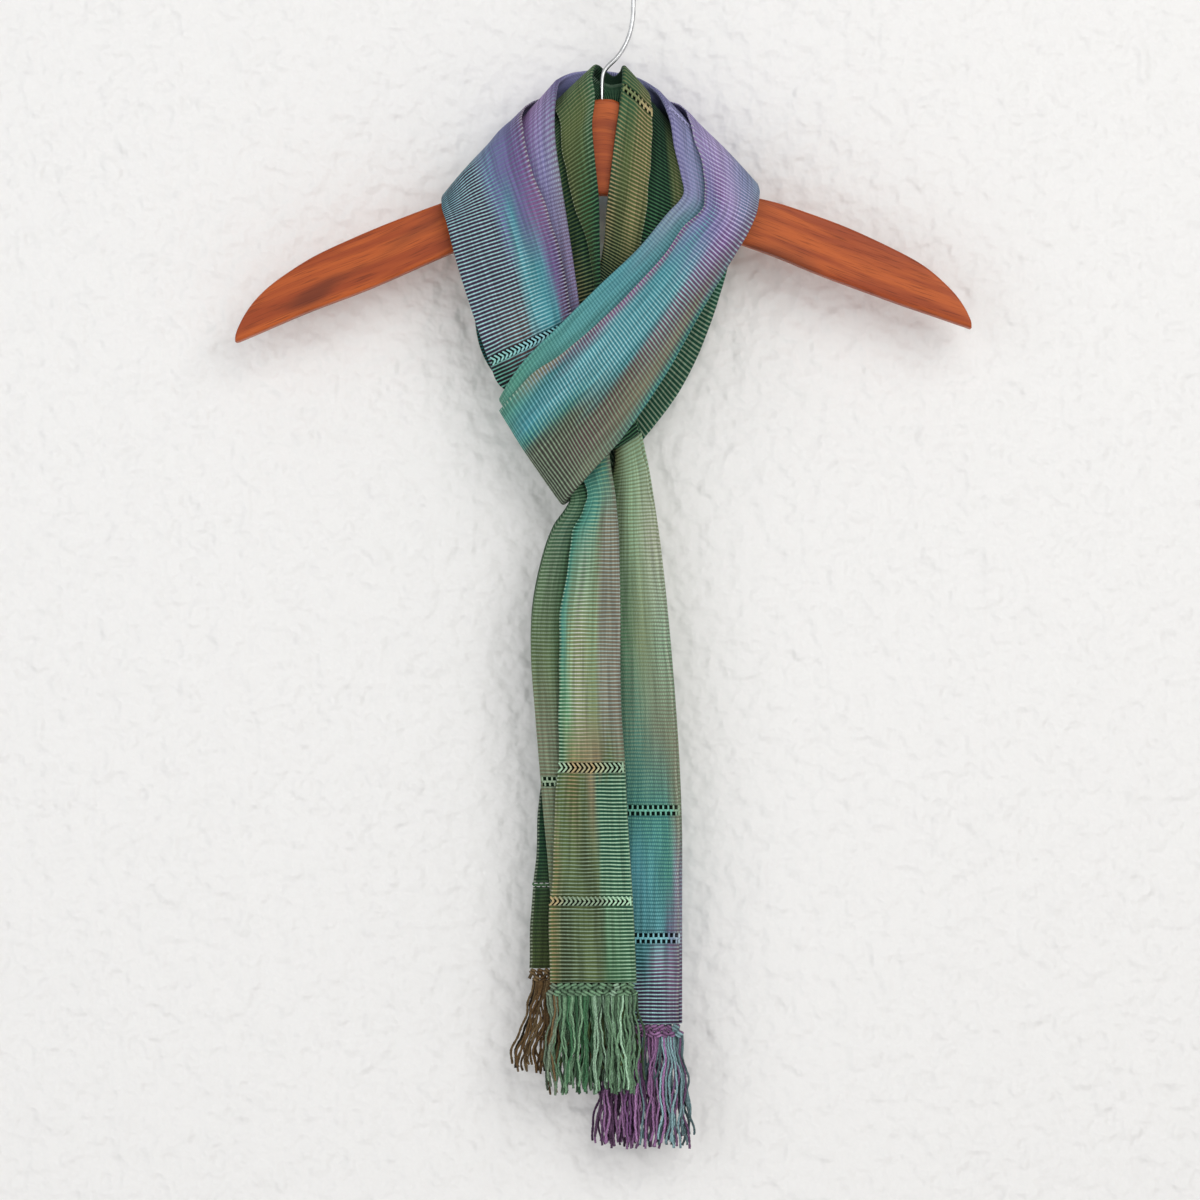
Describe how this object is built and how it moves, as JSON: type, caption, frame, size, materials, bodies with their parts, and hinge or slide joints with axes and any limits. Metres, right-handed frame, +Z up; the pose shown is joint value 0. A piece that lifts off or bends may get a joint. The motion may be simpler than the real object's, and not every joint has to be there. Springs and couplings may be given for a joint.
{
  "type": "wrap scarf on a clothes hanger",
  "caption": "Long handwoven fringed scarf folded lengthwise and looped through itself round the neck of a wooden clothes hanger.",
  "frame": {"origin": "the point inside the top of the hook that rests on a rail", "axes": "+Z up, -Y the front where the knot shows, X along the hanger's arms"},
  "size_m": [0.4418, 0.0435, 0.715],
  "materials": {
    "hanger_wood": "oiled reddish brown hardwood with dark grain",
    "hook_steel": "bright drawn steel wire",
    "scarf_cloth": "ribbed handwoven cloth with blurred lengthwise stripes in teal, green, lavender and olive",
    "fringe_green": "twisted green yarn",
    "fringe_brown": "twisted brown yarn",
    "fringe_purple": "twisted purple and light blue yarn"
  },
  "bodies": {
    "root": {"hanger_body": "hanger_wood", "hanger_hook": "hook_steel", "scarf_band_left": "scarf_cloth", "scarf_collar_outer": "scarf_cloth", "scarf_band_right": "scarf_cloth", "scarf_knot_turn": "scarf_cloth", "scarf_inner_right": "scarf_cloth", "scarf_collar_inner": "scarf_cloth", "scarf_inner_left": "scarf_cloth", "scarf_tail_left": "scarf_cloth", "scarf_tail_right": "scarf_cloth", "fringe_left_front": "fringe_green", "fringe_left_back": "fringe_brown", "fringe_right": "fringe_purple"}
  },
  "joints": []
}
